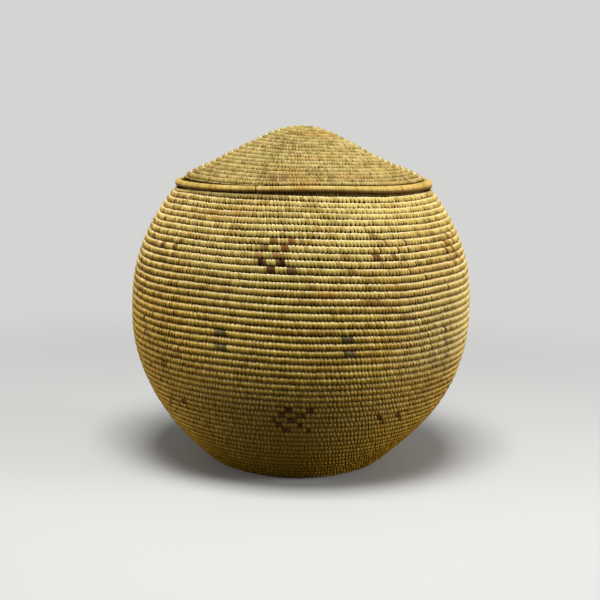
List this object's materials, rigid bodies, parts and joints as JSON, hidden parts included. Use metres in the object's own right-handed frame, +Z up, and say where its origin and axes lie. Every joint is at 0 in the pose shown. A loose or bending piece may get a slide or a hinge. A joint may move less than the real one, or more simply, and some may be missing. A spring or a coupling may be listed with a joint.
{
  "type": "lidded coiled basket",
  "caption": "Round lidded basket of sewn grass coil: full belly, narrow flat base, drawn-in mouth and a low pointed lid with a collar that sits in the mouth.",
  "frame": {"origin": "middle of the underside of the base, on the surface that the basket stands on", "axes": "+Z up through the middle of the base, the mouth and the lid's peak; -Y is the side that faces the viewer in the reference view"},
  "size_m": [0.2556, 0.2542, 0.2532],
  "materials": {
    "straw_base": "dry sewn grass, darkened by handling, matt",
    "straw_wall": "dry sewn grass with a slight sheen",
    "straw_mouth": "dry sewn grass with a slight sheen",
    "straw_lid": "dry sewn grass, sun-bleached, with a slight sheen"
  },
  "bodies": {
    "basket": {"base_start_knot": "straw_base", "base_coil": "straw_base", "heel_coil": "straw_base", "lower_wall_coil": "straw_wall", "belly_coil": "straw_wall", "upper_wall_coil": "straw_wall", "shoulder_coil": "straw_wall", "mouth_coil": "straw_mouth"},
    "lid": {"lid_start_knot": "straw_lid", "lid_crown_coil": "straw_lid", "lid_slope_coil": "straw_lid", "lid_edge_coil": "straw_lid", "lid_collar_coil": "straw_lid"}
  },
  "joints": [
    {"name": "lid_lift", "type": "slide", "parent": "basket", "child": "lid", "axis": [0, 0, 1], "range_m": [0, 0.12]}
  ]
}
